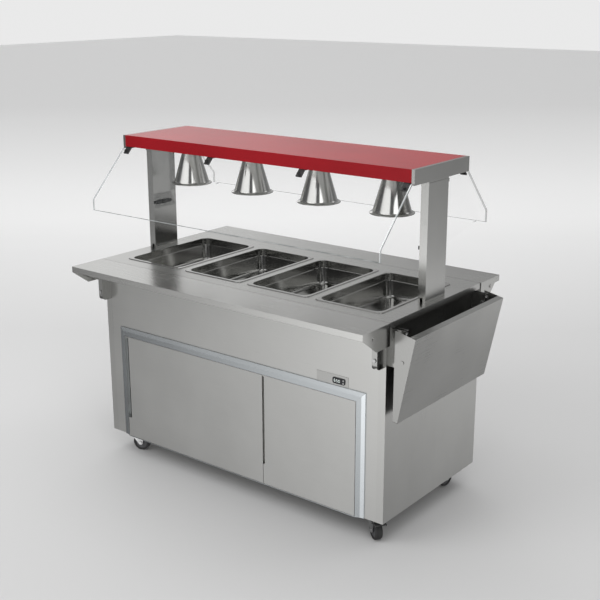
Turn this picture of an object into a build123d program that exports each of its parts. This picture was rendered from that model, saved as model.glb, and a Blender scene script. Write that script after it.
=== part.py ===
from build123d import *
import os
from math import cos, radians, sin

# Mobile hot-food serving counter: a heated bath with four gastronorm pans, a hot cupboard
# below, a lamp canopy on two posts above, clear guards, three folding shelves and casters.
# Millimetres. +X runs along the counter to the end shelf, -Y faces the cupboard doors, +Z is up.
# The origin is on the floor, under the middle of the whole unit.

# ---------------------------------------------------------------- driving dimensions
sheet = 1.5             # panel steel
thin = 1.2              # liner and door steel
running = 0.05          # radial clearance of a turning fit

# Counter top, measured from the middle of the row of pans
top_z = 938.0
top_sheet = 2.0
top_half = 783.0
top_front = -333.0
top_rear = 353.0
edge_depth = 25.0

# Gastronorm 1/1 pans, 100 deep
pan_count = 4
pan_pitch = 357.0
pan_width = 325.0
pan_length = 530.0
pan_rim = 2.6
pan_depth = 100.0
mouth_width = 301.0
mouth_length = 506.0
mouth_radius = 38.0
shoulder_drop = 30.0
pan_skin = 1.0

# Cabinet
body_half = 770.0
body_front = -333.0
body_rear = 385.0
body_bottom = 102.0
body_top = top_z - edge_depth
rear_top = 906.0
corner_leg = 34.0
fold = 15.0
frame_low = 108.0
frame_size = 40.0

# Doors and their bevelled surround
surround_half = 682.0
surround_top = 634.0
surround_back = -325.7
bevel = 36.0
bevel_steps = [(0, 0), (5, 0), (7, 18), (16, 36)]     # stand-off from the panel, inset
door_face = -349.0
door_depth = 22.0
door_gap = 2.2
door_low = 106.5
door_high = 596.5
door_split = 173.2      # middle of the gap between the two doors
pin_inset = 6.0         # hinge pin axis from the door's edge
pin_behind = 5.0        # hinge pin axis behind the door's face
pin_radius = 2.0
slot_depth = 18.0
slot_low = 198.0
slot_high = 592.0
left_slot = 20.0
right_slot = 9.0

# Hot cupboard
liner_half = 680.0
liner_rear = 345.0
liner_low = frame_low + frame_size
liner_high = 633.0
partition_x = 166.0
inner_shelf_z = 372.0

# Bath, its heaters and its drain
bath_half_x = 716.5
bath_half_y = 263.5
bath_floor = 768.0
heater_z = 788.0
drain_x = 420.0
drain_y = 120.0
valve_z = 530.0

# Controls
control_left = 445.0
control_right = 598.0
control_low = 635.5
control_high = 678.0
controller_x = 553.5
controller_z = 655.0
controller_face = -337.5
window_x = 545.0
button_x = 576.0
button_pitch = 11.0
button_radius = 3.4

# Folding shelves: reach is out from the hinge line, depth is down from the top face
side_depth = 90.0
lip = 25.0
shelf_corner = 3.0
long_shelf_half = 786.0
front_hinge = -334.5
front_reach = 179.0
front_edge = [(179, 25), (90, 90)]
front_gusset = [(22, 1), (150, 1), (150, 20), (100, 60), (52, 85), (22, 85)]
rear_hinge = 354.5
rear_reach = 163.0
rear_edge = [(163, 25), (122, 26), (57, 90)]
rear_gusset = [(40, 1), (138, 1), (138, 18), (120, 23), (64, 79), (52, 85), (40, 85)]
end_hinge = 784.5
end_reach = 357.0
end_edge = [(357, 20), (0, 90)]
end_gusset = [(22, 1), (150, 1), (150, 20), (100, 60), (48, 78), (22, 80)]
end_shelf_half = 341.0
end_shelf_mid = 10.0
pivot_drop = 67.0
front_pivot = 36.0
rear_pivot = 67.0
end_pivot = 36.0
fold_angle = radians(101.5)
bracket_inset = 35.0    # from a shelf's end to its bracket's middle
bracket_width = 24.0
bracket_wall = 2.5
bracket_low = 757.0
bracket_high = 908.0
bracket_nose = 14.0     # bracket beyond the pivot
bolt_heights = (797.0, 893.0)
bolt_radius = 4.0
gusset_inset = 18.8     # from a shelf's end to its gusset's outer face
gusset_sheet = 3.0
pivot_radius = 5.0
tie_head = 3.0

# Canopy, posts and guards
canopy_half = 775.5
canopy_front = -178.0
canopy_rear = 227.0
canopy_top = 1486.0
cap_height = 60.0
cap_depth = 13.5
fascia_height = 51.0
tray_z = 1436.0
post_inner = 727.0
post_outer = 761.0
post_front = -51.0
post_rear = 96.0
guard_half = 768.0
guard_sheet = 6.0
guard_bend = 22.0
front_guard_line = [(-187, 1431), (-385, 1223), (-385, 1174)]
rear_guard_line = [(237, 1431), (412, 1237), (412, 1186)]
wing_line = [(404, 1188), (96, 1130), (-46, 1130), (-46, 1200), (60, 1200), (60, 1424),
             (234, 1424), (404, 1234)]

# Heat lamps
lamp_count = 4
lamp_pitch = 366.0
lamp_y = 24.0
shade_line = [(31, 1436), (39, 1400), (52, 1357), (65, 1317), (78, 1278), (91, 1264)]
shade_sheet = 1.2

# Casters: swivel axis x, y and the way the wheel trails
caster_spots = [(-684, -268, 18), (684, -268, -35), (684, 320, -100), (-684, 320, 150)]
wheel_radius = 40.0
wheel_width = 30.0
hub_radius = 30.0
trail = 28.0
axle_radius = 4.0
kingpin_radius = 6.0
crown_z = 88.0
leg_gap = 36.0
leg_sheet = 3.0
caster_plate_low = 104.0
braked = (1, 2)
pedal_pin = (40.0, 82.0)

# ---------------------------------------------------------------- frame of the whole unit
pivot_z = top_z - pivot_drop
tip_x = end_hinge + end_pivot - end_pivot * cos(fold_angle) + pivot_drop * sin(fold_angle)
cx = (long_shelf_half + tie_head - tip_x) / 2
cy = -(rear_hinge + rear_reach + front_hinge - front_reach) / 2
up = Vector(0, 0, 1)


def level(z, x=0.0, y=0.0):
    """Horizontal plane at a height, with its origin over a point of the counter."""
    return Plane(origin=(cx + x, cy + y, z), x_dir=(1, 0, 0), z_dir=(0, 0, 1))


def facing_front(y, x=0.0, z=0.0):
    """Upright plane that looks to the front: sketch x is +X, sketch y is up."""
    return Plane(origin=(cx + x, cy + y, z), x_dir=(1, 0, 0), z_dir=(0, -1, 0))


def facing_end(x, y=0.0, z=0.0):
    """Upright plane that looks to the +X end: sketch x is +Y, sketch y is up."""
    return Plane(origin=(cx + x, cy + y, z), x_dir=(0, 1, 0), z_dir=(1, 0, 0))


def span(low_x, high_x, low_y, high_y, mode=Mode.ADD):
    """Rectangle between two corners, in the sketch that is open."""
    with Locations(((low_x + high_x) / 2, (low_y + high_y) / 2)):
        Rectangle(high_x - low_x, high_y - low_y, mode=mode)


def last_face(part, direction):
    """The part's furthest face along a direction."""
    return part.faces().sort_by(Axis((0, 0, 0), direction))[-1]


def bent_sheet(plane, points, skin, half_length, bend=0.0):
    """Sheet bent along points, skin thick on their right, half_length to each side of plane."""
    with BuildPart() as part:
        with BuildSketch(plane):
            with BuildLine():
                if bend > 0:
                    FilletPolyline(*points, radius=bend)
                else:
                    Polyline(*points)
                offset(amount=skin, side=Side.RIGHT)
            make_face()
        extrude(amount=half_length, both=True)
    return part.part


def folded_tray(face, width, height, depth, skin):
    """Sheet panel centred on a plane, with its four edges folded back by depth."""
    with BuildPart() as tray:
        with BuildSketch(face):
            Rectangle(width, height)
        extrude(amount=-depth)
        offset(amount=-skin, openings=last_face(tray, face.z_dir * -1))
    return tray.part


os.makedirs("parts", exist_ok=True)

# ---------------------------------------------------------------- counter and pans
with BuildPart() as counter_top:
    with BuildSketch(level(top_z - edge_depth)):
        span(-top_half, top_half, top_front, top_rear)
    extrude(amount=edge_depth)
    offset(amount=-top_sheet, openings=last_face(counter_top, (0, 0, -1)))
    with BuildSketch(level(top_z + 1)):
        with GridLocations(pan_pitch, 1, pan_count, 1):
            RectangleRounded(mouth_width + 8, mouth_length + 8, mouth_radius + 4)
    extrude(amount=-top_sheet - 2, mode=Mode.SUBTRACT)
counter_top.part.label = "counter_top"
export_step(counter_top.part, "parts/counter_top.step")


def pan_form(x, skin):
    """Solid that fills one pan up to the counter, with its faces drawn in by skin."""
    inset = 2 * skin
    shoulder = top_z - shoulder_drop
    with BuildPart() as form:
        with BuildSketch(level(top_z + 1, x)):
            RectangleRounded(mouth_width - inset, mouth_length - inset, mouth_radius)
        with BuildSketch(level(shoulder + skin, x)):
            RectangleRounded(mouth_width - 5 - inset, mouth_length - 5 - inset, mouth_radius - 2)
        loft()
        with BuildSketch(level(shoulder + skin, x)):
            RectangleRounded(mouth_width - 15 - inset, mouth_length - 15 - inset, mouth_radius - 6)
        with BuildSketch(level(top_z - pan_depth + skin, x)):
            RectangleRounded(mouth_width - 37 - inset, mouth_length - 37 - inset, mouth_radius - 6)
        loft()
        fillet(last_face(form, (0, 0, -1)).edges(), radius=10)
    return form.part


for index in range(pan_count):
    pan_x = (index - (pan_count - 1) / 2) * pan_pitch
    outside = pan_form(pan_x, 0.0)
    inside = pan_form(pan_x, pan_skin)
    with BuildPart() as pan:
        with BuildSketch(level(top_z + running, pan_x)):
            RectangleRounded(pan_width, pan_length, 22)
        extrude(amount=pan_rim)
        fillet(last_face(pan, (0, 0, 1)).edges(), radius=1.6)
        add(outside)
        add(inside, mode=Mode.SUBTRACT)
        with BuildSketch(level(top_z - 1, pan_x)):
            RectangleRounded(mouth_width - 2 * pan_skin, mouth_length - 2 * pan_skin, mouth_radius)
        extrude(amount=pan_rim + 2, mode=Mode.SUBTRACT)
    pan.part.label = f"pan_{index + 1}"
    export_step(pan.part, f"parts/pan_{index + 1}.step")

# ---------------------------------------------------------------- bath under the pans
with BuildPart() as bath_tank:
    with BuildSketch(level(bath_floor)):
        span(-bath_half_x, bath_half_x, -bath_half_y, bath_half_y)
    extrude(amount=top_z - top_sheet - bath_floor)
    offset(amount=-sheet, openings=last_face(bath_tank, (0, 0, 1)))
    with BuildSketch(level(bath_floor - 1, drain_x, drain_y)):
        Circle(17.5)
    extrude(amount=sheet + 2, mode=Mode.SUBTRACT)
bath_tank.part.label = "bath_tank"
export_step(bath_tank.part, "parts/bath_tank.step")


def hairpin(z, x_start, x_end, y_mid, spacing):
    """Sheathed heating element: out and back through two bends."""
    with BuildPart() as element:
        with BuildLine(level(z, 0, y_mid)):
            FilletPolyline((x_start, -spacing / 2), (x_end, -spacing / 2), (x_end, spacing / 2),
                           (x_start, spacing / 2), radius=spacing / 2 - 2)
        with BuildSketch(facing_end(x_start, y_mid - spacing / 2, z)):
            Circle(4)
        sweep()
    return element.part


with BuildPart() as bath_heaters:
    for y_mid, x_end in ((-130, 560), (130, 300)):
        add(hairpin(heater_z, -690, x_end, y_mid, 150))
        with BuildSketch(facing_end(-bath_half_x + sheet, y_mid, heater_z)):
            with GridLocations(150, 1, 2, 1):
                Circle(9)
        extrude(amount=26)
bath_heaters.part.label = "bath_heaters"
export_step(bath_heaters.part, "parts/bath_heaters.step")

valve_half = 30.0
with BuildPart() as drain_pipe:
    with BuildSketch(level(valve_z - valve_half - 70, drain_x, drain_y)):
        Circle(20)
    extrude(amount=70)
    with BuildSketch(level(valve_z + valve_half, drain_x, drain_y)):
        Circle(20)
    extrude(amount=bath_floor - valve_z - valve_half)
    with BuildSketch(level(bath_floor - 5, drain_x, drain_y)):
        Circle(34)
    extrude(amount=5)
    with BuildSketch(level(valve_z - valve_half - 71, drain_x, drain_y)):
        Circle(17.5)
    extrude(amount=bath_floor, mode=Mode.SUBTRACT)
drain_pipe.part.label = "drain_pipe"
export_step(drain_pipe.part, "parts/drain_pipe.step")

with BuildPart() as drain_valve:
    with BuildSketch(level(valve_z - valve_half, drain_x, drain_y)):
        Circle(24)
    extrude(amount=2 * valve_half)
    with BuildSketch(level(valve_z - 19, drain_x, drain_y)):
        RegularPolygon(31, 6)
    extrude(amount=38)
    with BuildSketch(facing_front(drain_y - 15, drain_x, valve_z)):
        Circle(12)
    extrude(amount=35)
    with BuildSketch(facing_front(drain_y - 49, drain_x, valve_z)):
        Circle(pivot_radius)
    extrude(amount=9)
    with BuildSketch(facing_front(drain_y - 57.5, drain_x, valve_z)):
        RegularPolygon(9, 6)
    extrude(amount=5)
    with BuildSketch(level(valve_z - valve_half - 1, drain_x, drain_y)):
        Circle(17.5)
    extrude(amount=2 * valve_half + 2, mode=Mode.SUBTRACT)
drain_valve.part.label = "drain_valve"
export_step(drain_valve.part, "parts/drain_valve.step")

with BuildPart() as drain_lever:
    with BuildSketch(facing_front(drain_y - 50.5, drain_x, valve_z)):
        Circle(13)
        with Locations((55, 0)):
            SlotOverall(126, 17)
        Circle(pivot_radius + running, mode=Mode.SUBTRACT)
    extrude(amount=6)
drain_lever.part.label = "drain_lever"
export_step(drain_lever.part, "parts/drain_lever.step")

with BuildPart() as insulation:
    with BuildSketch(level(728)):
        span(-700, 700, -255, 255)
        with Locations((drain_x, drain_y)):
            Circle(36, mode=Mode.SUBTRACT)
    extrude(amount=38)
    with BuildSketch(level(liner_low + 7)):
        span(-body_half + 18, -liner_half - 4, -300, 340)
        span(-liner_half, liner_half, liner_rear + 3, 366)
    extrude(amount=470)
insulation.part.label = "insulation"
export_step(insulation.part, "parts/insulation.step")

# ---------------------------------------------------------------- cabinet shell
inner_half = surround_half - bevel
inner_top = surround_top - bevel
panel_half = body_half - corner_leg

with BuildPart() as front_panel:
    panel_z = (body_top + body_bottom) / 2
    add(folded_tray(facing_front(body_front, 0, panel_z), 2 * panel_half, body_top - body_bottom,
                    fold, sheet))
    with BuildSketch(facing_front(body_front - 1)):
        span(-inner_half - sheet, inner_half + sheet, body_bottom - 1, inner_top + sheet)
        with Locations((controller_x, controller_z)):
            Rectangle(56, 22)
    extrude(amount=-fold - 2, mode=Mode.SUBTRACT)
front_panel.part.label = "front_panel"
export_step(front_panel.part, "parts/front_panel.step")


def mitred(member, corners):
    """The part of a surround member that lies inside an outline seen from the front."""
    with BuildPart() as cut:
        with BuildSketch(facing_front(surround_back + 10)):
            with BuildLine():
                Polyline(*corners, close=True)
            make_face()
        extrude(amount=50)
    return member & cut.part


outline = [(body_front - stand_off, inset) for stand_off, inset in bevel_steps]
outline.append((surround_back, bevel))
over = 5.0
members = [mitred(
    bent_sheet(facing_end(0), [(y, surround_top - inset) for y, inset in outline][::-1], sheet,
               surround_half + over),
    [(-surround_half - over, surround_top + over), (surround_half + over, surround_top + over),
     (inner_half - over, inner_top - over), (-inner_half + over, inner_top - over)])]
for sign in (-1, 1):
    across = [(sign * (surround_half - inset), y) for y, inset in outline]
    members.append(mitred(
        bent_sheet(level(surround_top), across[::sign], sheet, surround_top),
        [(sign * (surround_half + over), body_bottom),
         (sign * (surround_half + over), surround_top + over),
         (sign * (inner_half - over), inner_top - over), (sign * (inner_half - over), body_bottom)]))

with BuildPart() as door_surround:
    add(members)
    with BuildSketch(level(body_bottom)):
        span(-inner_half, inner_half, door_face, surround_back)
    extrude(amount=2.5)
    for hinge_x in (door_split - door_gap / 2 - pin_inset, inner_half - door_gap - pin_inset):
        with BuildSketch(level(body_bottom - 1, hinge_x, door_face + pin_behind)):
            Circle(pin_radius + running)
        extrude(amount=inner_top + sheet + 2 - body_bottom, mode=Mode.SUBTRACT)
door_surround.part.label = "door_surround"
export_step(door_surround.part, "parts/door_surround.step")


def door(left, right, slot):
    """Double-skinned door between two x values, with a finger slot in its left edge."""
    back = door_face + door_depth
    with BuildPart() as leaf:
        with BuildSketch(facing_front(back)):
            span(left, right, door_low, door_high)
        extrude(amount=door_depth)
        with BuildSketch(facing_front(back - thin)):
            span(left + thin, right - thin, door_low + thin, door_high - thin)
            span(left, left + slot + thin, slot_low - thin, door_high, mode=Mode.SUBTRACT)
        extrude(amount=door_depth - 2 * thin, mode=Mode.SUBTRACT)
        with BuildSketch(facing_front(door_face + slot_depth)):
            span(left - 1, left + slot, slot_low, slot_high)
        extrude(amount=slot_depth + 1, mode=Mode.SUBTRACT)
        with BuildSketch(level(door_low, right - pin_inset, door_face + pin_behind)):
            Circle(pin_radius)
        extrude(amount=-door_low + body_bottom + 0.5)
        with BuildSketch(level(door_high, right - pin_inset, door_face + pin_behind)):
            Circle(pin_radius)
        extrude(amount=inner_top + sheet - door_high)
    return leaf.part


with BuildPart() as door_left:
    add(door(-inner_half + door_gap, door_split - door_gap / 2, left_slot))
door_left.part.label = "door_left"
export_step(door_left.part, "parts/door_left.step")

with BuildPart() as door_right:
    add(door(door_split + door_gap / 2, inner_half - door_gap, right_slot))
door_right.part.label = "door_right"
export_step(door_right.part, "parts/door_right.step")

with BuildPart() as end_panels:
    end_low_y = body_front + corner_leg
    end_high_y = body_rear - corner_leg
    end_face = facing_end(body_half, (end_low_y + end_high_y) / 2,
                          (body_bottom + top_z - top_sheet) / 2)
    add(folded_tray(end_face, end_high_y - end_low_y, top_z - top_sheet - body_bottom, fold, sheet))
    mirror(about=facing_end(0))
end_panels.part.label = "end_panels"
export_step(end_panels.part, "parts/end_panels.step")

with BuildPart() as rear_panel:
    add(bent_sheet(facing_end(0), [(body_rear - fold, body_bottom), (body_rear, body_bottom),
                                   (body_rear, rear_top), (body_rear - corner_leg, rear_top),
                                   (body_rear - corner_leg, top_z - top_sheet)][::-1],
                   sheet, panel_half))
rear_panel.part.label = "rear_panel"
export_step(rear_panel.part, "parts/rear_panel.step")

with BuildPart() as corner_posts:
    for corner_y, inward, high in ((body_front, 1, body_top), (body_rear, -1, rear_top)):
        with BuildSketch(level(body_bottom)):
            with Locations((body_half - corner_leg / 2, corner_y + inward * corner_leg / 2)):
                Rectangle(corner_leg, corner_leg)
            with Locations((body_half - (corner_leg + sheet) / 2,
                            corner_y + inward * (corner_leg + sheet) / 2)):
                Rectangle(corner_leg - sheet, corner_leg - sheet, mode=Mode.SUBTRACT)
        extrude(amount=high - body_bottom)
    mirror(about=facing_end(0))
corner_posts.part.label = "corner_posts"
export_step(corner_posts.part, "parts/corner_posts.step")

frame_x = body_half - 18
frame_front = body_front + 18
frame_rear = body_rear - 18
with BuildPart() as base_frame:
    with BuildSketch(level(frame_low)):
        span(-frame_x, frame_x, frame_front, frame_rear)
        span(-frame_x + frame_size, frame_x - frame_size, frame_front + frame_size,
             frame_rear - frame_size, mode=Mode.SUBTRACT)
    extrude(amount=frame_size)
    with BuildSketch(level(frame_low + 2)):
        span(-frame_x + 2, frame_x - 2, frame_front + 2, frame_rear - 2)
        span(-frame_x + frame_size - 2, frame_x - frame_size + 2, frame_front + frame_size - 2,
             frame_rear - frame_size + 2, mode=Mode.SUBTRACT)
    extrude(amount=frame_size - 4, mode=Mode.SUBTRACT)
    for sign in (-1, 1):
        with BuildSketch(level(frame_low)):
            span(sign * frame_x - sign * 130, sign * (frame_x - frame_size), frame_front + frame_size,
                 frame_front + 115)
            span(sign * frame_x - sign * 130, sign * (frame_x - frame_size), frame_rear - 115,
                 frame_rear - frame_size)
        extrude(amount=4)
base_frame.part.label = "base_frame"
export_step(base_frame.part, "parts/base_frame.step")

liner_face = surround_back + thin
with BuildPart() as cupboard_liner:
    with BuildSketch(level(liner_low)):
        span(-liner_half, liner_half, liner_face, liner_rear)
    extrude(amount=liner_high - liner_low)
    offset(amount=-thin, openings=last_face(cupboard_liner, (0, -1, 0)))
    with BuildSketch(facing_front(surround_back)):
        span(-700, 700, liner_low - 42, liner_high)
        span(-630, partition_x - 12, liner_low + 4, inner_top - 8, mode=Mode.SUBTRACT)
        span(partition_x + 12, 630, liner_low + 4, inner_top - 8, mode=Mode.SUBTRACT)
    extrude(amount=-thin)
    with BuildSketch(level(liner_low)):
        span(partition_x - 0.6, partition_x + 0.6, liner_face, liner_rear)
    extrude(amount=liner_high - liner_low)
    with BuildSketch(level(inner_shelf_z - 22)):
        span(-liner_half, -liner_half + 20, -310, 330)
        span(partition_x - 20, partition_x, -310, 330)
    extrude(amount=2)
    with BuildSketch(level(liner_high + 1, drain_x, drain_y)):
        Circle(24)
    extrude(amount=-thin - 2, mode=Mode.SUBTRACT)
cupboard_liner.part.label = "cupboard_liner"
export_step(cupboard_liner.part, "parts/cupboard_liner.step")

with BuildPart() as inner_shelf:
    shelf_face = level(inner_shelf_z, (partition_x - liner_half) / 2, 10)
    add(folded_tray(shelf_face, liner_half + partition_x - 6, 630, 20, thin))
    with BuildSketch(shelf_face.offset(1)):
        with GridLocations(130, 70, 6, 8):
            SlotOverall(96, 12)
    extrude(amount=-thin - 2, mode=Mode.SUBTRACT)
inner_shelf.part.label = "inner_shelf"
export_step(inner_shelf.part, "parts/inner_shelf.step")

with BuildPart() as cupboard_heater:
    add(hairpin(185, -645, -150, 245, 90))
    with BuildSketch(level(liner_low + thin)):
        span(-liner_half + thin, -640, 170, 320)
        span(-260, -245, 190, 300)
    extrude(amount=38)
cupboard_heater.part.label = "cupboard_heater"
export_step(cupboard_heater.part, "parts/cupboard_heater.step")

# ---------------------------------------------------------------- controls
plate_face = body_front - sheet
with BuildPart() as control_plate:
    with BuildSketch(facing_front(body_front)):
        span(control_left, control_right, control_low, control_high)
        with Locations((controller_x, controller_z)):
            Rectangle(56, 22, mode=Mode.SUBTRACT)
    extrude(amount=sheet)
control_plate.part.label = "control_plate"
export_step(control_plate.part, "parts/control_plate.step")

button_spots = [(button_x - controller_x, button_pitch / 2), (button_x - controller_x, -button_pitch / 2)]
with BuildPart() as controller_body:
    with BuildSketch(facing_front(plate_face, controller_x, controller_z)):
        RectangleRounded(61, 26, 8)
    extrude(amount=plate_face - controller_face)
    fillet(last_face(controller_body, (0, -1, 0)).edges(), radius=1.2)
    with BuildSketch(facing_front(plate_face, controller_x, controller_z)):
        Rectangle(55.4, 21.4)
    extrude(amount=-58)
    with BuildSketch(facing_front(controller_face + 1, window_x, controller_z)):
        Rectangle(36.2, 16.2)
    extrude(amount=2, mode=Mode.SUBTRACT)
    with BuildSketch(facing_front(plate_face + 8, controller_x, controller_z)):
        with Locations(*button_spots):
            Circle(button_radius + running)
    extrude(amount=15, mode=Mode.SUBTRACT)
controller_body.part.label = "controller_body"
export_step(controller_body.part, "parts/controller_body.step")

with BuildPart() as display_window:
    with BuildSketch(facing_front(controller_face + 1, window_x, controller_z)):
        Rectangle(36, 16)
    extrude(amount=0.8)
display_window.part.label = "display_window"
export_step(display_window.part, "parts/display_window.step")

for name, (spot_x, spot_z) in zip(("up_button", "down_button"), button_spots):
    with BuildPart() as button:
        with BuildSketch(facing_front(plate_face + 6.5, controller_x + spot_x, controller_z + spot_z)):
            Circle(button_radius)
        extrude(amount=plate_face + 6.5 - controller_face + 1.2)
        fillet(last_face(button, (0, -1, 0)).edges(), radius=0.5)
    button.part.label = name
    export_step(button.part, f"parts/{name}.step")

# ---------------------------------------------------------------- folding shelves
front_frame = Plane(origin=(cx, cy + front_hinge, top_z), x_dir=(-1, 0, 0), z_dir=up)
rear_frame = Plane(origin=(cx, cy + rear_hinge, top_z), x_dir=(1, 0, 0), z_dir=up)
end_frame = Plane(origin=(cx + end_hinge, cy + end_shelf_mid, top_z), x_dir=(0, -1, 0), z_dir=up)


def folded(frame, pivot):
    """A raised shelf's frame after the shelf has folded down about its pivot."""
    out = frame.y_dir
    centre = frame.origin + out * pivot - up * pivot_drop
    new_out = out * cos(fold_angle) - up * sin(fold_angle)
    new_up = out * sin(fold_angle) + up * cos(fold_angle)
    return Plane(origin=centre - new_out * pivot + new_up * pivot_drop, x_dir=frame.x_dir,
                 z_dir=new_up)


def folding_shelf(frame, half_length, reach, lower_edge, gusset, pivot, tie):
    """Sheet shelf with deep tapered sides, a lip all round and two pivoted gussets below."""
    side = Plane(origin=frame.origin, x_dir=frame.y_dir, z_dir=frame.x_dir)
    below = [(s, -d) for s, d in lower_edge]
    with BuildPart() as body:
        with BuildSketch(frame.offset(-side_depth)) as outline:
            span(-half_length, half_length, 0, reach)
            fillet(outline.vertices().group_by(Axis.Y)[-1], radius=shelf_corner)
        extrude(amount=side_depth)
        offset(amount=-sheet, openings=last_face(body, frame.z_dir * -1))
        with BuildSketch(side):
            with BuildLine():
                Polyline((reach + 1, below[0][1]), *below, (below[-1][0], -side_depth - 1),
                         (reach + 1, -side_depth - 1), close=True)
            make_face()
        extrude(amount=half_length + 1, both=True, mode=Mode.SUBTRACT)
        with BuildSketch(frame.offset(-lip)):
            span(-half_length + sheet, half_length - sheet, -1, sheet + 1)
        extrude(amount=-side_depth, mode=Mode.SUBTRACT)
        for sign in (-1, 1):
            face = side.offset(sign * (half_length - gusset_inset - gusset_sheet / 2))
            with BuildSketch(face):
                with BuildLine():
                    Polyline(*[(s, -d) for s, d in gusset], close=True)
                make_face()
                with Locations((pivot, -pivot_drop)):
                    Circle(pivot_radius + running, mode=Mode.SUBTRACT)
            extrude(amount=gusset_sheet / 2, both=True)
            with BuildSketch(face):
                with Locations((tie[0], -tie[1])):
                    Circle(4)
            extrude(amount=sign * (gusset_inset + gusset_sheet / 2))
            with BuildSketch(side.offset(sign * half_length)):
                with Locations((tie[0], -tie[1])):
                    Circle(8)
            extrude(amount=sign * tie_head)
    return body.part


with BuildPart() as front_shelf:
    add(folding_shelf(front_frame, long_shelf_half, front_reach, front_edge, front_gusset,
                      front_pivot, (110, 34)))
front_shelf.part.label = "front_shelf"
export_step(front_shelf.part, "parts/front_shelf.step")

with BuildPart() as rear_shelf:
    add(folding_shelf(rear_frame, long_shelf_half, rear_reach, rear_edge, rear_gusset,
                      rear_pivot, (84, 32)))
rear_shelf.part.label = "rear_shelf"
export_step(rear_shelf.part, "parts/rear_shelf.step")

with BuildPart() as end_shelf:
    add(folding_shelf(folded(end_frame, end_pivot), end_shelf_half, end_reach, end_edge,
                      end_gusset, end_pivot, (110, 34)))
end_shelf.part.label = "end_shelf"
export_step(end_shelf.part, "parts/end_shelf.step")

# Each mounting: raised frame, shelf half length, pivot, cabinet face measured out from the hinge
shelf_mounts = [(front_frame, long_shelf_half, front_pivot, body_front - front_hinge, -1),
                (rear_frame, long_shelf_half, rear_pivot, body_rear - rear_hinge, 1),
                (end_frame, end_shelf_half, end_pivot, body_half - end_hinge, 1)]


def mount_sides():
    """Side plane, its outward sign, pivot reach and cabinet face for all six brackets."""
    for frame, half_length, pivot, face, outward in shelf_mounts:
        for sign in (-1, 1):
            middle = frame.origin + frame.x_dir * sign * (half_length - bracket_inset)
            plane = Plane(origin=(middle.X, middle.Y, 0), x_dir=frame.y_dir, z_dir=frame.x_dir)
            yield plane, sign, pivot, -face if outward < 0 else face


def bracket_web(plane, pivot):
    """Plane on a bracket's outer face: its X runs along the shelf and its Y runs up."""
    return Plane(origin=plane.origin + plane.x_dir * (pivot + bracket_nose),
                 x_dir=plane.z_dir * -1, z_dir=plane.x_dir)


with BuildPart() as shelf_brackets:
    for plane, sign, pivot, face in mount_sides():
        nose = pivot + bracket_nose
        with BuildSketch(plane) as profile:
            span(face, nose, bracket_low, bracket_high)
            fillet(profile.vertices().group_by(Axis.X)[-1].sort_by(Axis.Y)[0], radius=20)
        extrude(amount=bracket_width / 2, both=True)
        with BuildSketch(plane):
            span(face - 1, nose - bracket_wall, bracket_low - 1, bracket_high + 1)
        extrude(amount=bracket_width / 2 - bracket_wall, both=True, mode=Mode.SUBTRACT)
        with BuildSketch(plane):
            with Locations((pivot, pivot_z)):
                Circle(pivot_radius)
        extrude(amount=bracket_width, both=True, mode=Mode.SUBTRACT)
        with BuildSketch(bracket_web(plane, pivot)):
            with Locations(*[(0, z) for z in bolt_heights]):
                Circle(bolt_radius)
        extrude(amount=-2 * bracket_wall, mode=Mode.SUBTRACT)
shelf_brackets.part.label = "shelf_brackets"
export_step(shelf_brackets.part, "parts/shelf_brackets.step")

head_high = 5.0
with BuildPart() as pivot_bolts:
    for plane, sign, pivot, face in mount_sides():
        near = -sign * (bracket_width / 2 + head_high)
        far = sign * (bracket_inset - gusset_inset + head_high / 2)
        with BuildSketch(plane.offset(near)):
            with Locations((pivot, pivot_z)):
                RegularPolygon(9, 6)
        extrude(amount=sign * head_high)
        with BuildSketch(plane.offset(near)):
            with Locations((pivot, pivot_z)):
                Circle(pivot_radius)
        extrude(amount=far - near)
        with BuildSketch(plane.offset(sign * (bracket_inset - gusset_inset + 0.4))):
            with Locations((pivot, pivot_z)):
                RegularPolygon(9, 6)
        extrude(amount=sign * head_high)
pivot_bolts.part.label = "pivot_bolts"
export_step(pivot_bolts.part, "parts/pivot_bolts.step")

with BuildPart() as bracket_bolts:
    for plane, sign, pivot, face in mount_sides():
        web = bracket_web(plane, pivot)
        for z in bolt_heights:
            with BuildSketch(web):
                with Locations((0, z)):
                    RegularPolygon(8, 6)
            extrude(amount=4.5)
            with BuildSketch(web):
                with Locations((0, z)):
                    Circle(bolt_radius)
            extrude(amount=face - pivot - bracket_nose)
bracket_bolts.part.label = "bracket_bolts"
export_step(bracket_bolts.part, "parts/bracket_bolts.step")

# ---------------------------------------------------------------- canopy and posts
with BuildPart() as canopy_shell:
    low = canopy_top - fascia_height
    add(bent_sheet(facing_end(0), [(canopy_front, low), (canopy_front, canopy_top),
                                   (canopy_rear, canopy_top), (canopy_rear, low)],
                   sheet, canopy_half - cap_depth))
canopy_shell.part.label = "canopy_shell"
export_step(canopy_shell.part, "parts/canopy_shell.step")

with BuildPart() as canopy_end_caps:
    cap_face = facing_end(canopy_half, (canopy_front + canopy_rear) / 2, canopy_top - cap_height / 2)
    add(folded_tray(cap_face, canopy_rear - canopy_front, cap_height, cap_depth, sheet))
    mirror(about=facing_end(0))
canopy_end_caps.part.label = "canopy_end_caps"
export_step(canopy_end_caps.part, "parts/canopy_end_caps.step")

with BuildPart() as canopy_tray:
    tray_half = canopy_half - cap_depth - 1
    with BuildSketch(level(tray_z)):
        span(-tray_half, tray_half, canopy_front + sheet, canopy_rear - sheet)
    extrude(amount=30)
    offset(amount=-thin, openings=last_face(canopy_tray, (0, 0, 1)))
    with BuildSketch(level(tray_z - 1, 0, lamp_y)):
        with GridLocations(lamp_pitch, 1, lamp_count, 1):
            Circle(20)
    extrude(amount=thin + 2, mode=Mode.SUBTRACT)
canopy_tray.part.label = "canopy_tray"
export_step(canopy_tray.part, "parts/canopy_tray.step")

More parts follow.
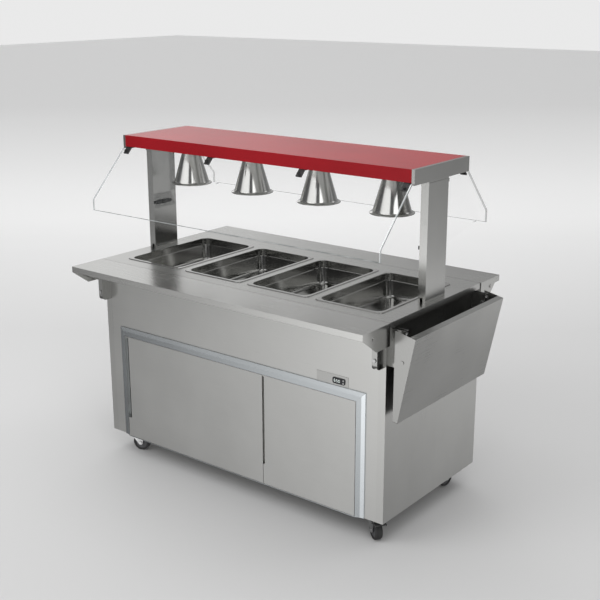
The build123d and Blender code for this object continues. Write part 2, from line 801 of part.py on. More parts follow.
with BuildPart() as posts:
    with BuildSketch(level(top_z)):
        span(post_inner, post_outer, post_front, post_rear)
    extrude(amount=tray_z - top_z)
    with BuildSketch(level(tray_z - 34)):
        span(post_inner, post_outer + 2, post_front - 2, post_rear + 2)
    extrude(amount=14)
    with BuildSketch(level(top_z)):
        span(post_inner + 2, post_outer - 2, post_front + 2, post_rear - 2)
    extrude(amount=tray_z - top_z, mode=Mode.SUBTRACT)
    with BuildSketch(facing_front(post_front - 1)):
        span(post_inner + 9, post_inner + 21, top_z, top_z + 22)
    extrude(amount=-4, mode=Mode.SUBTRACT)
    mirror(about=facing_end(0))
posts.part.label = "posts"
export_step(posts.part, "parts/posts.step")

# ---------------------------------------------------------------- heat lamps
lamp_spots = [((index - (lamp_count - 1) / 2) * lamp_pitch) for index in range(lamp_count)]
holder_low = 1392.0

with BuildPart() as lamp_holders:
    for x in lamp_spots:
        with BuildSketch(level(holder_low, x, lamp_y)):
            Circle(19)
        extrude(amount=tray_z + thin - holder_low)
        with BuildSketch(level(tray_z + thin, x, lamp_y)):
            Circle(30)
        extrude(amount=8)
lamp_holders.part.label = "lamp_holders"
export_step(lamp_holders.part, "parts/lamp_holders.step")

with BuildPart() as lamp_bulbs:
    for x in lamp_spots:
        with BuildSketch(facing_front(lamp_y, x)):
            with BuildLine():
                Polyline((0, 1290), (0, holder_low), (13, holder_low), (13, 1380))
                Spline((13, 1380), (38, 1322), (0, 1290), tangents=((0, -1), (-1, 0)))
            make_face()
        revolve(axis=Axis((cx + x, cy + lamp_y, 0), (0, 0, 1)))
lamp_bulbs.part.label = "lamp_bulbs"
export_step(lamp_bulbs.part, "parts/lamp_bulbs.step")

with BuildPart() as lamp_shades:
    for x in lamp_spots:
        with BuildSketch(facing_front(lamp_y, x)):
            with BuildLine():
                outer = Spline(*shade_line)
                inner = Spline(*[(radius - shade_sheet, z) for radius, z in shade_line])
                Line(outer @ 0, inner @ 0)
                Line(outer @ 1, inner @ 1)
            make_face()
            with Locations(shade_line[-1]):
                Circle(1.6)
            with Locations((25, tray_z - shade_sheet / 2)):
                Rectangle(12, shade_sheet)
        revolve(axis=Axis((cx + x, cy + lamp_y, 0), (0, 0, 1)))
lamp_shades.part.label = "lamp_shades"
export_step(lamp_shades.part, "parts/lamp_shades.step")

# ---------------------------------------------------------------- clear guards
with BuildPart() as front_guard:
    add(bent_sheet(facing_end(0), front_guard_line[::-1], guard_sheet, guard_half, guard_bend))
front_guard.part.label = "front_guard"
export_step(front_guard.part, "parts/front_guard.step")

with BuildPart() as rear_guard:
    add(bent_sheet(facing_end(0), rear_guard_line, guard_sheet, guard_half, guard_bend))
    for x in (-post_inner, post_inner - guard_sheet):
        with BuildSketch(facing_end(x)):
            with BuildLine():
                Polyline(*wing_line, close=True)
            make_face()
        extrude(amount=guard_sheet)
rear_guard.part.label = "rear_guard"
export_step(rear_guard.part, "parts/rear_guard.step")


front_clip = [(-150, 1436), (-176, 1436), (-176, 1434), (-184.4, 1424.7), (-199.5, 1408.8),
              (-195.6, 1404.7), (-172, 1429.5), (-150, 1429.5)]
rear_clip = [(199, 1436), (225, 1436), (225, 1434), (234.1, 1424.8), (248.9, 1408.5),
             (244.8, 1404.4), (221, 1429.5), (199, 1429.5)]
clip_spots = (-742, -248, 248, 742)
with BuildPart() as guard_clips:
    for line, outline in ((front_guard_line, front_clip), (rear_guard_line, rear_clip)):
        top = Vector(0, *line[0])
        slope = (Vector(0, *line[1]) - top).normalized()
        outward = Vector(0, slope.Z, -slope.Y) * (-1 if line[0][0] > 0 else 1)
        for x in clip_spots:
            with BuildSketch(facing_end(x)):
                with BuildLine():
                    Polyline(*outline, close=True)
                make_face()
            extrude(amount=14, both=True)
            seat = top + slope * 14 + Vector(cx + x, cy, 0)
            with BuildSketch(Plane(origin=seat, x_dir=(1, 0, 0), z_dir=outward)):
                Circle(7)
            extrude(amount=3)
guard_clips.part.label = "guard_clips"
export_step(guard_clips.part, "parts/guard_clips.step")

wing_face = post_inner - guard_sheet
with BuildPart() as wing_clamps:
    with BuildSketch(facing_end(wing_face)):
        span(-44, 56, 1150, 1164)
    extrude(amount=-4)
    for y, z, radius, high in ((-30, 1157, 5, 7), (44, 1157, 5, 7), (4, 1157, 8, 12)):
        with BuildSketch(facing_end(wing_face, y, z)):
            Circle(radius)
        extrude(amount=-high)
    mirror(about=facing_end(0))
wing_clamps.part.label = "wing_clamps"
export_step(wing_clamps.part, "parts/wing_clamps.step")

# ---------------------------------------------------------------- rear inlet
with BuildPart() as power_inlet:
    with BuildSketch(Plane(origin=(cx - 600, cy + body_rear, 200), x_dir=(-1, 0, 0), z_dir=(0, 1, 0))):
        RectangleRounded(70, 70, 6)
    extrude(amount=2)
    with BuildSketch(Plane(origin=(cx - 600, cy + body_rear + 2, 200), x_dir=(-1, 0, 0), z_dir=(0, 1, 0))):
        RegularPolygon(17, 6)
    extrude(amount=9)
    with BuildSketch(Plane(origin=(cx - 600, cy + body_rear + 11, 200), x_dir=(-1, 0, 0), z_dir=(0, 1, 0))):
        Circle(14)
    extrude(amount=14)
    fillet(last_face(power_inlet, (0, 1, 0)).edges(), radius=4)
    with BuildSketch(Plane(origin=(cx - 600, cy + body_rear + 30, 200), x_dir=(-1, 0, 0), z_dir=(0, 1, 0))):
        Circle(6)
    extrude(amount=-29, mode=Mode.SUBTRACT)
power_inlet.part.label = "power_inlet"
export_step(power_inlet.part, "parts/power_inlet.step")

# ---------------------------------------------------------------- casters
with BuildPart() as caster_plates:
    for x, y, angle in caster_spots:
        with BuildSketch(level(caster_plate_low, x, y)):
            RectangleRounded(96, 84, 6)
        extrude(amount=frame_low - caster_plate_low)
        with BuildSketch(level(crown_z + 4.4, x, y)):
            Circle(24)
        extrude(amount=caster_plate_low - crown_z - 4.4)
        with BuildSketch(level(crown_z - 5, x, y)):
            Circle(kingpin_radius)
        extrude(amount=20)
        with BuildSketch(level(crown_z - 5, x, y)):
            RegularPolygon(10, 6)
        extrude(amount=4.6)
        for bolt_x, bolt_y in ((-38, -32), (38, -32), (-38, 32), (38, 32)):
            with BuildSketch(level(caster_plate_low, x + bolt_x, y + bolt_y)):
                RegularPolygon(7, 6)
            extrude(amount=-4)
caster_plates.part.label = "caster_plates"
export_step(caster_plates.part, "parts/caster_plates.step")


def caster_frame(x, y, angle):
    """Plane at a caster's swivel axis: its X trails away towards the wheel."""
    trailing = (cos(radians(angle)), sin(radians(angle)), 0)
    return Plane(origin=(cx + x, cy + y, 0), x_dir=trailing, z_dir=up)


for number, (x, y, angle) in enumerate(caster_spots, start=1):
    frame = caster_frame(x, y, angle)
    side = Plane(origin=frame.origin, x_dir=frame.x_dir, z_dir=frame.y_dir * -1)
    leg_near = leg_gap / 2
    leg_far = leg_near + leg_sheet
    with BuildPart() as fork:
        with BuildSketch(frame.offset(crown_z)):
            span(-26, 46, -leg_far, leg_far)
            Circle(kingpin_radius + running, mode=Mode.SUBTRACT)
        extrude(amount=4)
        for low in (leg_near, -leg_far):
            with BuildSketch(side.offset(low)):
                with Locations((10, crown_z + 1)):
                    Rectangle(72, 6)
                with Locations((trail, wheel_radius)):
                    Circle(11)
                make_hull()
            extrude(amount=leg_sheet)
        with BuildSketch(side.offset(-leg_far - 4)):
            with Locations((trail, wheel_radius)):
                Circle(axle_radius)
        extrude(amount=2 * leg_far + 8)
        for low in (leg_far, -leg_far - 4):
            with BuildSketch(side.offset(low)):
                with Locations((trail, wheel_radius)):
                    RegularPolygon(8, 6)
            extrude(amount=4)
        if number in braked:
            for low in (leg_far - 1, -leg_far - 4.5):
                with BuildSketch(side.offset(low)):
                    with Locations(pedal_pin):
                        Circle(3)
                extrude(amount=5.5)
    fork.part.label = f"caster_fork_{number}"
    export_step(fork.part, f"parts/caster_fork_{number}.step")

    with BuildPart() as hub:
        with BuildSketch(side.offset(-wheel_width / 2 + 3)):
            with Locations((trail, wheel_radius)):
                Circle(hub_radius)
        extrude(amount=wheel_width - 6)
        with BuildSketch(side.offset(-leg_gap / 2 + 0.5)):
            with Locations((trail, wheel_radius)):
                Circle(10)
        extrude(amount=leg_gap - 1)
        with BuildSketch(side.offset(-leg_gap / 2)):
            with Locations((trail, wheel_radius)):
                Circle(axle_radius + running)
        extrude(amount=leg_gap, mode=Mode.SUBTRACT)
    hub.part.label = f"caster_hub_{number}"
    export_step(hub.part, f"parts/caster_hub_{number}.step")

    with BuildPart() as tyre:
        with BuildSketch(side.offset(-wheel_width / 2)):
            with Locations((trail, wheel_radius)):
                Circle(wheel_radius)
        extrude(amount=wheel_width)
        fillet(tyre.edges().filter_by(GeomType.CIRCLE), radius=4)
        with BuildSketch(side.offset(-wheel_width / 2)):
            with Locations((trail, wheel_radius)):
                Circle(hub_radius)
        extrude(amount=wheel_width, mode=Mode.SUBTRACT)
    tyre.part.label = f"caster_tyre_{number}"
    export_step(tyre.part, f"parts/caster_tyre_{number}.step")

for number in braked:
    frame = caster_frame(*caster_spots[number - 1])
    side = Plane(origin=frame.origin, x_dir=frame.x_dir, z_dir=frame.y_dir * -1)
    arm = leg_gap / 2 + leg_sheet + 0.5
    with BuildPart() as pedal:
        for low in (arm, -arm - 3):
            with BuildSketch(side.offset(low)):
                with Locations(pedal_pin):
                    Circle(7)
                span(pedal_pin[0], pedal_pin[0] + 40, pedal_pin[1] - 4, pedal_pin[1] + 4)
                with Locations(pedal_pin):
                    Circle(3 + running, mode=Mode.SUBTRACT)
            extrude(amount=3)
        with BuildSketch(side.offset(-arm - 3)):
            span(pedal_pin[0] + 14, pedal_pin[0] + 42, pedal_pin[1], pedal_pin[1] + 4)
        extrude(amount=2 * arm + 6)
    pedal.part.label = f"brake_pedal_{number}"
    export_step(pedal.part, f"parts/brake_pedal_{number}.step")
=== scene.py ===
import math

import bpy
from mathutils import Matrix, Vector


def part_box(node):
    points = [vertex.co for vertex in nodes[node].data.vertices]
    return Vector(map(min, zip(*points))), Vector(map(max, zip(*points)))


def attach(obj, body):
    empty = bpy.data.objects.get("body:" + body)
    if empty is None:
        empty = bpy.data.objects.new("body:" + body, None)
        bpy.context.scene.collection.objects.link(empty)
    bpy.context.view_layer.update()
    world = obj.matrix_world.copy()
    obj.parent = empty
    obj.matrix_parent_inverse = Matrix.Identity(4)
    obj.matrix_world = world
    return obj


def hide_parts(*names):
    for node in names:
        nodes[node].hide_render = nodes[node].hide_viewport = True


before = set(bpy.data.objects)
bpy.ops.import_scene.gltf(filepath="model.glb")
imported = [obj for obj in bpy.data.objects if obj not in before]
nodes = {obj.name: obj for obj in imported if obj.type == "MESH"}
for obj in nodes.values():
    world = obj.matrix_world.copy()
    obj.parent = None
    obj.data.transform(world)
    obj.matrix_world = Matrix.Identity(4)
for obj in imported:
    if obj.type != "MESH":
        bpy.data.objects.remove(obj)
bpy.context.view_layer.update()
scene = bpy.context.scene
scene.view_settings.view_transform = "Standard"

# The camera stands this far round from the front, towards the end shelf
azimuth = math.radians(38.147)


# ---------------------------------------------------------------- material tools
def join(tree, value, socket):
    """Link a node's output to a socket, or set the socket to a plain value."""
    if hasattr(value, "is_linked"):
        tree.links.new(value, socket)
    else:
        socket.default_value = value


def math_node(tree, kind, a, b=0.0):
    node = tree.nodes.new("ShaderNodeMath")
    node.operation = kind
    join(tree, a, node.inputs[0])
    join(tree, b, node.inputs[1])
    return node.outputs[0]


def mix_node(tree, share, a, b, kind="MIX"):
    """Mix two colours, each a node's output or three numbers."""
    node = tree.nodes.new("ShaderNodeMix")
    node.data_type = "RGBA"
    node.blend_type = kind
    join(tree, share, node.inputs["Factor"])
    sockets = [s for s in node.inputs if s.type == "RGBA"]
    for socket, value in zip(sockets, (a, b)):
        join(tree, value if hasattr(value, "is_linked") else (*value, 1), socket)
    return [s for s in node.outputs if s.type == "RGBA"][0]


class Shader:
    """A material's node tree with short calls for the nodes used here."""

    def __init__(self, name, colour, rough, metal=0.0):
        self.mat = bpy.data.materials.new(name)
        self.mat.use_nodes = True
        self.mat.diffuse_color = (*colour, 1)
        self.tree = self.mat.node_tree
        self.bsdf = self.tree.nodes["Principled BSDF"]
        self.bsdf.inputs["Base Color"].default_value = (*colour, 1)
        self.bsdf.inputs["Roughness"].default_value = rough
        self.bsdf.inputs["Metallic"].default_value = metal
        where = self.tree.nodes.new("ShaderNodeTexCoord")
        self.place = where.outputs["Object"]
        self.side = dict(zip("XYZ", self.split(where.outputs["Normal"])))

    def split(self, vector):
        node = self.tree.nodes.new("ShaderNodeSeparateXYZ")
        self.link(vector, node.inputs[0])
        return node.outputs

    def set(self, **values):
        for key, value in values.items():
            self.bsdf.inputs[key.replace("_", " ")].default_value = value
        return self

    def link(self, a, b):
        self.tree.links.new(a, b)

    def drive(self, name, value):
        """Feed a socket of the surface from a node's output."""
        self.link(value, self.bsdf.inputs[name])

    def noise(self, size, detail=2.0, rough=0.5):
        """Noise whose size per axis is given in metres."""
        spread = self.tree.nodes.new("ShaderNodeMapping")
        spread.inputs["Scale"].default_value = [1 / s for s in size]
        self.link(self.place, spread.inputs["Vector"])
        node = self.tree.nodes.new("ShaderNodeTexNoise")
        node.inputs["Scale"].default_value = 1.0
        node.inputs["Detail"].default_value = detail
        node.inputs["Roughness"].default_value = rough
        self.link(spread.outputs["Vector"], node.inputs["Vector"])
        return node.outputs["Fac"]

    def ramp(self, value, low, high, start=0.3, end=0.7):
        """A grey or colour that runs from low to high as value goes from start to end."""
        node = self.tree.nodes.new("ShaderNodeValToRGB")
        for stop, place, shade in zip(node.color_ramp.elements, (start, end), (low, high)):
            stop.position = place
            stop.color = (*shade, 1) if hasattr(shade, "__len__") else (shade, shade, shade, 1)
        self.link(value, node.inputs["Fac"])
        return node.outputs["Color"]

    def mix(self, share, a, b, kind="MIX"):
        return mix_node(self.tree, share, a, b, kind)

    def math(self, kind, a, b=0.0):
        return math_node(self.tree, kind, a, b)

    def uneven(self, value, swing, middle):
        """Roughness that swings about its middle with a noise value."""
        return self.math("ADD", self.math("MULTIPLY", value, swing), middle - swing / 2)

    def bump(self, value, height):
        node = self.tree.nodes.new("ShaderNodeBump")
        node.inputs["Strength"].default_value = 1.0
        node.inputs["Distance"].default_value = height
        self.link(value, node.inputs["Height"])
        self.drive("Normal", node.outputs["Normal"])

    def facing(self, side, least=0.5):
        """1 where the surface faces a side such as "-Y", 0 elsewhere."""
        towards = self.side[side[-1]]
        if side[0] == "-":
            return self.math("LESS_THAN", towards, -least)
        return self.math("GREATER_THAN", towards, least)


def shades_of(colour, vary):
    """A darker and a lighter copy of a colour."""
    return [c * (1 - vary) for c in colour], [min(1, c * (1 + vary)) for c in colour]


# Noise sizes of brushed grain: long in the direction of the brushing, fine across it
grain_sizes = {"X": (0.25, 0.0011, 0.0011), "Y": (0.0011, 0.25, 0.0011), "Z": (0.0011, 0.0011, 0.25),
               "rings": (0.5, 0.5, 0.0009)}


def brushed(name, tone, rough, grain, depth=0.000004, smudge=0.05, tint=(1.0, 1.0, 0.975), painted_side_light=()):
    """Brushed stainless: fine scratches along one axis, soft smudges, uneven gloss, and painted light or
    shade on chosen sides.
    """
    colour = [tone * t for t in tint]
    made = Shader(name, colour, rough, 1.0)
    fine = made.noise(grain_sizes[grain], 3.0, 0.6)
    cloud = made.noise((0.35, 0.35, 0.35), 3.0, 0.55)
    scratch = made.ramp(fine, 0.965, 1.0, 0.3, 0.62)
    base = made.mix(1.0, made.ramp(cloud, *shades_of(colour, smudge)), scratch, "MULTIPLY")
    # Painted light and shade: faces towards each listed side get their colour scaled by its share, lighter
    # or darker, standing in for what they reflect
    for side, share in painted_side_light:
        base = made.mix(made.facing(side), base, made.mix(1.0, base, (share,) * 3, "MULTIPLY"))
    made.drive("Base Color", base)
    patches = made.math("MULTIPLY", made.math("SUBTRACT", cloud, 0.5), 0.12)
    made.drive("Roughness", made.math("ADD", made.uneven(fine, 0.08, rough), patches))
    made.bump(fine, depth)
    return made.mat


def moulded(name, colour, rough, grain=0.0012, depth=0.00004, vary=0.15):
    """Moulded plastic or rubber: fine texture and slight unevenness of colour."""
    made = Shader(name, colour, rough)
    fine = made.noise((grain, grain, grain), 2.0)
    cloud = made.noise((0.05, 0.05, 0.05), 3.0)
    made.drive("Base Color", made.ramp(cloud, *shades_of(colour, vary)))
    made.drive("Roughness", made.uneven(cloud, 0.16, rough))
    made.bump(fine, depth)
    return made.mat


def coated(name, colour, rough, coat=0.6):
    """Sprayed enamel: faint orange peel under a clear coat."""
    made = Shader(name, colour, rough).set(Coat_Weight=coat, Coat_Roughness=0.06, Specular_IOR_Level=0.2)
    cloud = made.noise((0.3, 0.3, 0.3), 3.0)
    made.drive("Base Color", made.ramp(cloud, [c * 0.9 for c in colour], [min(1, c * 1.08) for c in colour]))
    peel = made.noise((0.004, 0.004, 0.004), 1.0)
    made.drive("Roughness", made.uneven(peel, 0.08, rough))
    made.bump(peel, 0.00003)
    return made.mat


def plated(name, colour, rough):
    """Plated or drawn metal: a slight spangle."""
    made = Shader(name, colour, rough, 1.0)
    spangle = made.noise((0.004, 0.004, 0.004), 3.0)
    cloud = made.noise((0.03, 0.03, 0.03), 2.0)
    made.drive("Base Color", made.ramp(cloud, [c * 0.8 for c in colour], [min(1, c * 1.1) for c in colour]))
    made.drive("Roughness", made.math("ADD", made.math("MULTIPLY", spangle, 0.25), rough - 0.1))
    made.bump(spangle, 0.00002)
    return made.mat


def grey(tone):
    return (tone, tone, tone)


# Clear guards, in metres: how far in from an end, or up from the foot, the painted edge glint still shows
end_band = 0.0066
glint_band = 0.005
foot_band = 0.0012
sheet_row = 0.375       # the sheets hang further out than this, the wings reach in from there


def clear_sheet(name, guard, winged):
    """Clear acrylic sheet: almost nothing on its faces; a painted grey glint on its sawn edges and foot, and
    on the front sheet a painted pale band beside its ends.
    """
    made = Shader(name, (0.94, 0.97, 0.97), 0.04).set(IOR=1.45)
    corners = [vertex.co for vertex in nodes[guard].data.vertices]
    outermost = max(abs(corner.y) for corner in corners)
    foot = min(corner.z for corner in corners if abs(corner.y) > outermost - 0.0001)
    low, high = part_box(guard)
    half_width = (high.x - low.x) / 2
    x, y, z = made.split(made.place)
    from_middle = made.math("ABSOLUTE", made.math("SUBTRACT", x, (low.x + high.x) / 2))
    at_end = made.math("GREATER_THAN", from_middle, half_width - end_band)
    along = made.math("ABSOLUTE", made.side["X"])
    sawn = made.math("LESS_THAN", along, 0.5) if winged else made.math("GREATER_THAN", along, 0.9)
    at_foot = made.math("COMPARE", z, foot)
    at_foot.node.inputs[2].default_value = foot_band
    outside = made.math("GREATER_THAN", made.math("ABSOLUTE", y), sheet_row)
    lower = made.math("MAXIMUM", made.math("MULTIPLY", at_foot, outside), made.facing("-Z", 0.8))
    edge = made.math("MAXIMUM", made.math("MULTIPLY", at_end, sawn), lower)
    # Painted glint: the grey on the edges stands in for light and shade caught in the acrylic's edges
    glint = made.ramp(made.noise((0.05, 0.05, 0.05), 1.0), (0.16, 0.18, 0.18), (0.42, 0.44, 0.44), 0.35, 0.6)
    made.drive("Base Color", made.mix(edge, (0.93, 0.97, 0.98), glint))
    wipe = made.noise((0.5, 0.02, 0.3), 3.0)
    film = made.math("ADD", 0.006, made.math("MULTIPLY", wipe, 0.012))
    # Painted highlight: a pale, less clear band just inside the front sheet's ends
    if not winged:
        beside = made.math("GREATER_THAN", from_middle, half_width - glint_band)
        inward = made.math("MULTIPLY", beside, made.math("SUBTRACT", 1.0, edge))
        film = made.math("ADD", film, made.math("MULTIPLY", inward, 0.45))
    edge_alpha = made.math("MULTIPLY", edge, 0.4 if winged else 0.85)
    made.drive("Alpha", made.math("ADD", film, edge_alpha))
    made.drive("Roughness", made.math("ADD", made.math("MULTIPLY", edge, 0.25), 0.05))
    return made.mat


# ---------------------------------------------------------------- materials of the CAD nodes
front_steel = brushed("front_steel", 0.60, 0.30, "X")
end_steel = brushed("end_steel", 0.58, 0.30, "Z")
top_steel = brushed("top_steel", 0.62, 0.29, "X")
shelf_steel = brushed("shelf_steel", 0.62, 0.26, "X")
# Painted shade and painted reflection: the end shelf's front and inner faces are darkened and its outer face
# lightened
end_shelf_steel = brushed("end_shelf_steel", 0.62, 0.30, "Y", depth=0.0000015,
                          painted_side_light=(("-Y", 0.68), ("+X", 1.25), ("-X", 0.35)))
door_steel = brushed("door_steel", 0.60, 0.32, "X")
# Painted reflection: the trim's bluish tint, its faces towards +X painted lighter and its faces towards -X
# painted darker
trim_steel = brushed("trim_steel", 0.70, 0.24, "X", tint=(0.95, 1.0, 1.03),
                     painted_side_light=(("+X", 1.35), ("-X", 0.86)))
plate_steel = brushed("plate_steel", 0.50, 0.30, "X")
post_steel = brushed("post_steel", 0.52, 0.20, "Z")
# Painted shade: the caps and brackets are darker copies of the same steel, for the dark surroundings they
# mirror and the shade under the shelves
cap_steel = brushed("cap_steel", 0.47, 0.22, "Y")
bracket_steel = brushed("bracket_steel", 0.44, 0.28, "Z")
pan_steel = brushed("pan_steel", 0.52, 0.12, "Y", depth=0.0000015, smudge=0.03)
liner_steel = brushed("liner_steel", 0.55, 0.34, "X")
shade_metal = brushed("shade_metal", 0.88, 0.15, "rings", depth=0.00001, smudge=0.03)
red_enamel = coated("red_enamel", (0.33, 0.008, 0.014), 0.22, coat=0.0)
front_clear = clear_sheet("front_clear", "front_guard", winged=False)
rear_clear = clear_sheet("rear_clear", "rear_guard", winged=True)
frame_steel = plated("frame_steel", grey(0.42), 0.42)
clip_metal = plated("clip_metal", grey(0.10), 0.38)
zinc = plated("zinc", grey(0.66), 0.3)
sheath = plated("sheath", grey(0.18), 0.45)
copper = plated("copper", (0.72, 0.36, 0.22), 0.3)
brass = plated("brass", (0.72, 0.52, 0.2), 0.3)
tyre_rubber = moulded("tyre_rubber", grey(0.035), 0.62)
hub_plastic = moulded("hub_plastic", (0.10, 0.10, 0.105), 0.45)
pedal_plastic = moulded("pedal_plastic", grey(0.06), 0.5)
black_plastic = moulded("black_plastic", (0.02, 0.02, 0.023), 0.42)
window_plastic = moulded("window_plastic", (0.012, 0.012, 0.014), 0.12, depth=0.000002)
button_plastic = moulded("button_plastic", grey(0.5), 0.4)
ceramic = moulded("ceramic", (0.8, 0.78, 0.72), 0.3)
bulb_glass = coated("bulb_glass", (0.85, 0.84, 0.80), 0.2, coat=1.0)
wool = moulded("wool", (0.62, 0.55, 0.25), 0.95, grain=0.003, depth=0.002, vary=0.25)
red_grip = coated("red_grip", (0.42, 0.02, 0.015), 0.4)

materials = {
    "counter_top": top_steel, "front_panel": front_steel, "door_surround": trim_steel,
    "end_panels": end_steel, "rear_panel": front_steel, "corner_posts": end_steel,
    "door_left": door_steel, "door_right": door_steel, "control_plate": plate_steel,
    "front_shelf": shelf_steel, "rear_shelf": shelf_steel, "end_shelf": end_shelf_steel,
    "shelf_brackets": bracket_steel, "posts": post_steel, "canopy_shell": red_enamel,
    "canopy_end_caps": cap_steel, "canopy_tray": liner_steel, "bath_tank": liner_steel,
    "cupboard_liner": liner_steel, "inner_shelf": liner_steel, "base_frame": frame_steel,
    "insulation": wool, "bath_heaters": sheath, "cupboard_heater": sheath, "drain_pipe": copper,
    "drain_valve": brass, "drain_lever": red_grip, "controller_body": black_plastic,
    "display_window": window_plastic, "up_button": button_plastic, "down_button": button_plastic,
    "lamp_holders": ceramic, "lamp_bulbs": bulb_glass, "lamp_shades": shade_metal,
    "front_guard": front_clear, "rear_guard": rear_clear, "guard_clips": clip_metal,
    "wing_clamps": clip_metal, "pivot_bolts": zinc, "bracket_bolts": zinc, "caster_plates": zinc,
    "power_inlet": black_plastic,
}
for number in range(1, 5):
    materials[f"pan_{number}"] = pan_steel
    materials[f"caster_fork_{number}"] = zinc
    materials[f"caster_hub_{number}"] = hub_plastic
    materials[f"caster_tyre_{number}"] = tyre_rubber
for number in (1, 2):
    materials[f"brake_pedal_{number}"] = pedal_plastic
for name, node in nodes.items():
    node.data.materials.clear()
    node.data.materials.append(materials[name])


def mesh_piece(name, points, faces, material, body):
    """Add a piece that rides a body and takes its material's slot."""
    data = bpy.data.meshes.new(name)
    data.from_pydata(points, [], faces)
    data.materials.append(material)
    piece = bpy.data.objects.new(name, data)
    scene.collection.objects.link(piece)
    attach(piece, body)
    return piece


# ---------------------------------------------------------------- display numerals
digit_w, digit_h = 0.003, 0.005
digit_pitch = 0.0105
stroke, thick = 0.0008, 0.0002
# Each segment's place in half digits, and whether it lies flat
segments = {"top": (0, 1, True), "middle": (0, 0, True), "bottom": (0, -1, True),
            "upper_left": (-1, 0.5, False), "upper_right": (1, 0.5, False),
            "lower_left": (-1, -0.5, False), "lower_right": (1, -0.5, False)}
lit = {"6": ("top", "middle", "bottom", "upper_left", "lower_left", "lower_right"),
       "5": ("top", "middle", "bottom", "upper_left", "lower_right"),
       "0": ("top", "bottom", "upper_left", "upper_right", "lower_left", "lower_right")}
bar_faces = ((0, 1, 2, 3), (7, 6, 5, 4), (0, 4, 5, 1), (1, 5, 6, 2), (2, 6, 7, 3), (3, 7, 4, 0))

glow = Shader("glow", (0.75, 0.8, 0.78), 0.4)
glow.set(Emission_Color=(0.75, 0.85, 0.82, 1), Emission_Strength=0.55)
glow.drive("Base Color", glow.ramp(glow.noise((0.002, 0.002, 0.002)), (0.6, 0.66, 0.64), (0.85, 0.9, 0.88)))

window_low, window_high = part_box("display_window")
window_x = (window_low.x + window_high.x) / 2
window_z = (window_low.z + window_high.z) / 2
points, faces = [], []
for place, digit in enumerate("650"):
    for segment in lit[digit]:
        dx, dz, flat = segments[segment]
        half_x, half_z = (digit_w - stroke, stroke) if flat else (stroke, digit_h / 2 - stroke)
        at_x = window_x + (place - 1) * digit_pitch + dx * digit_w
        at_z = window_z + dz * digit_h
        start = len(points)
        for y in (window_low.y - thick, window_low.y):
            for x, z in ((-half_x, -half_z), (half_x, -half_z), (half_x, half_z), (-half_x, half_z)):
                points.append((at_x + x, y, at_z + z))
        faces += [tuple(start + corner for corner in face) for face in bar_faces]
mesh_piece("display_numerals", points, faces, glow.mat, "cabinet")

# ---------------------------------------------------------------- spun lamp shades
lamp_count = 4
steps_round = 128
shade_low, shade_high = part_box("lamp_shades")
rim = (shade_high.y - shade_low.y) / 2
lamp_y = (shade_low.y + shade_high.y) / 2
first_x, last_x = shade_low.x + rim, shade_high.x - rim
base, crown = shade_low.z, shade_high.z
neck, skirt = 0.0330, 0.0780      # outer radii of the cone's top and bottom
skirt_z = base + 0.0125
# Radius, height, and whether there is a crease there: down the outside, then up the inside
profile = [(neck - 0.0018, crown, True), (neck, crown - 0.006, False), (skirt, skirt_z, False),
           (skirt + 0.0020, base + 0.0070, False), (skirt + 0.0055, base + 0.0044, False),
           (rim - 0.0012, base + 0.0032, False), (rim, base + 0.0018, False),
           (rim - 0.0006, base + 0.0002, False), (skirt + 0.0060, base, False),
           (skirt + 0.0010, base + 0.0040, True), (skirt - 0.0014, skirt_z, False),
           (neck - 0.0030, crown, True)]
points, faces, creases = [], [], set()
for lamp_number in range(lamp_count):
    lamp_x = first_x + (last_x - first_x) * lamp_number / (lamp_count - 1)
    start = len(points)
    for ring, (radius, z, crease) in enumerate(profile):
        ring_start = start + ring * steps_round
        next_start = start + (ring + 1) % len(profile) * steps_round
        for step in range(steps_round):
            angle = 2 * math.pi * step / steps_round
            points.append((lamp_x + radius * math.cos(angle), lamp_y + radius * math.sin(angle), z))
            beside = (step + 1) % steps_round
            faces.append((ring_start + step, next_start + step, next_start + beside, ring_start + beside))
            if crease:
                creases.add(tuple(sorted((ring_start + step, ring_start + beside))))
shades = mesh_piece("spun_shades", points, faces, shade_metal, "cabinet")
for face in shades.data.polygons:
    face.use_smooth = True
for edge in shades.data.edges:
    edge.use_edge_sharp = tuple(sorted(edge.vertices)) in creases
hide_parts("lamp_shades")

# ---------------------------------------------------------------- floor
# Painted light: away from the camera the floor's colour is painted lighter, and a glowing painted pool of
# light lies behind the unit
floor_size = 60.0
depth_unit = 20.0       # metres of depth that count as 1 in the ramps below
floor_look = Shader("floor_look", (0.80, 0.80, 0.80), 0.75)
floor_x, floor_y, _ = floor_look.split(floor_look.place)
depth_back = floor_look.math("ADD",
                             floor_look.math("MULTIPLY", floor_x, -math.sin(azimuth) / depth_unit),
                             floor_look.math("MULTIPLY", floor_y, math.cos(azimuth) / depth_unit))
shade_back = floor_look.ramp(floor_look.math("ADD", depth_back, 0.1), 0.58, 0.88, 0.05, 0.45)
floor_look.drive("Base Color", shade_back)
painted_light_pool = floor_look.ramp(depth_back, 0.0, 0.17, 0.10, 0.27)
fade = floor_look.ramp(depth_back, 1.0, 0.35, 0.30, 0.75)
floor_look.drive("Emission Color", floor_look.mix(1.0, painted_light_pool, fade, "MULTIPLY"))
floor_look.set(Emission_Strength=1.3)
bpy.ops.mesh.primitive_plane_add(size=floor_size, location=(0, 0, 0))
floor = bpy.context.object
floor.name = "floor"
floor.data.materials.append(floor_look.mat)
floor.visible_glossy = False


